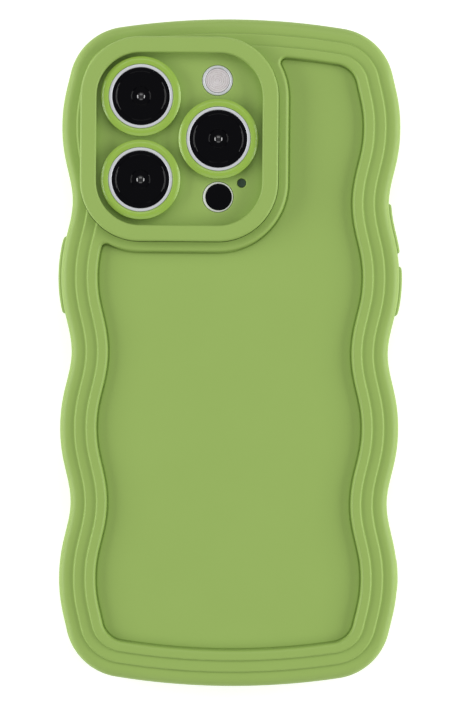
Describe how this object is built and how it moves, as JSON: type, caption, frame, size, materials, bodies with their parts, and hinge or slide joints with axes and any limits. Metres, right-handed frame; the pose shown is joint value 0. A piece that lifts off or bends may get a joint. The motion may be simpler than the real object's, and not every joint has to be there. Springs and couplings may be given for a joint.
{
  "type": "phone case",
  "caption": "Soft moulded phone case with wavy sides, three raised contour bands round a flat recessed back, a raised square camera guard with round lens rings, and side buttons that press in.",
  "frame": {"origin": "on the plane that the front lip rests on, under the middle of the case", "axes": "+Z out of the back of the case, +Y towards the camera end, +X towards the volume buttons"},
  "size_m": [0.0806, 0.156, 0.0149],
  "materials": {
    "case_body": "fine matt moulded TPU, soft to the touch",
    "lens_ring": "glossy moulded lime",
    "silver_trim": "satin turned",
    "dark_glass": "polished, dark behind",
    "flash_diffuser": "clear moulded diffuser over a pale reflector",
    "pale_collar": "smooth pale moulded",
    "mesh": "fine woven"
  },
  "bodies": {
    "case": {"bumper_frame": "case_body", "back_panel": "case_body", "camera_guard": "case_body", "camera_plate": "case_body", "lens_ring_upper": "lens_ring", "lens_ring_lower": "lens_ring", "lens_ring_side": "lens_ring", "lens_bezel_upper": "silver_trim", "lens_bezel_lower": "silver_trim", "lens_bezel_side": "silver_trim", "lens_glass_upper": "dark_glass", "lens_glass_lower": "dark_glass", "lens_glass_side": "dark_glass", "flash_bezel": "silver_trim", "flash_lens": "flash_diffuser", "sensor_bezel": "pale_collar", "sensor_window": "dark_glass", "mic_mesh": "mesh"},
    "power_key": {"power_button": "case_body"},
    "volume_up_key": {"volume_up_button": "case_body"},
    "volume_down_key": {"volume_down_button": "case_body"}
  },
  "joints": [
    {"name": "power_press", "type": "slide", "parent": "case", "child": "power_key", "axis": [1, 0, 0], "range_m": [0, 0.0003], "stiffness_N_per_m": 3000},
    {"name": "volume_up_press", "type": "slide", "parent": "case", "child": "volume_up_key", "axis": [-1, 0, 0], "range_m": [0, 0.0003], "stiffness_N_per_m": 3000},
    {"name": "volume_down_press", "type": "slide", "parent": "case", "child": "volume_down_key", "axis": [-1, 0, 0], "range_m": [0, 0.0003], "stiffness_N_per_m": 3000}
  ]
}
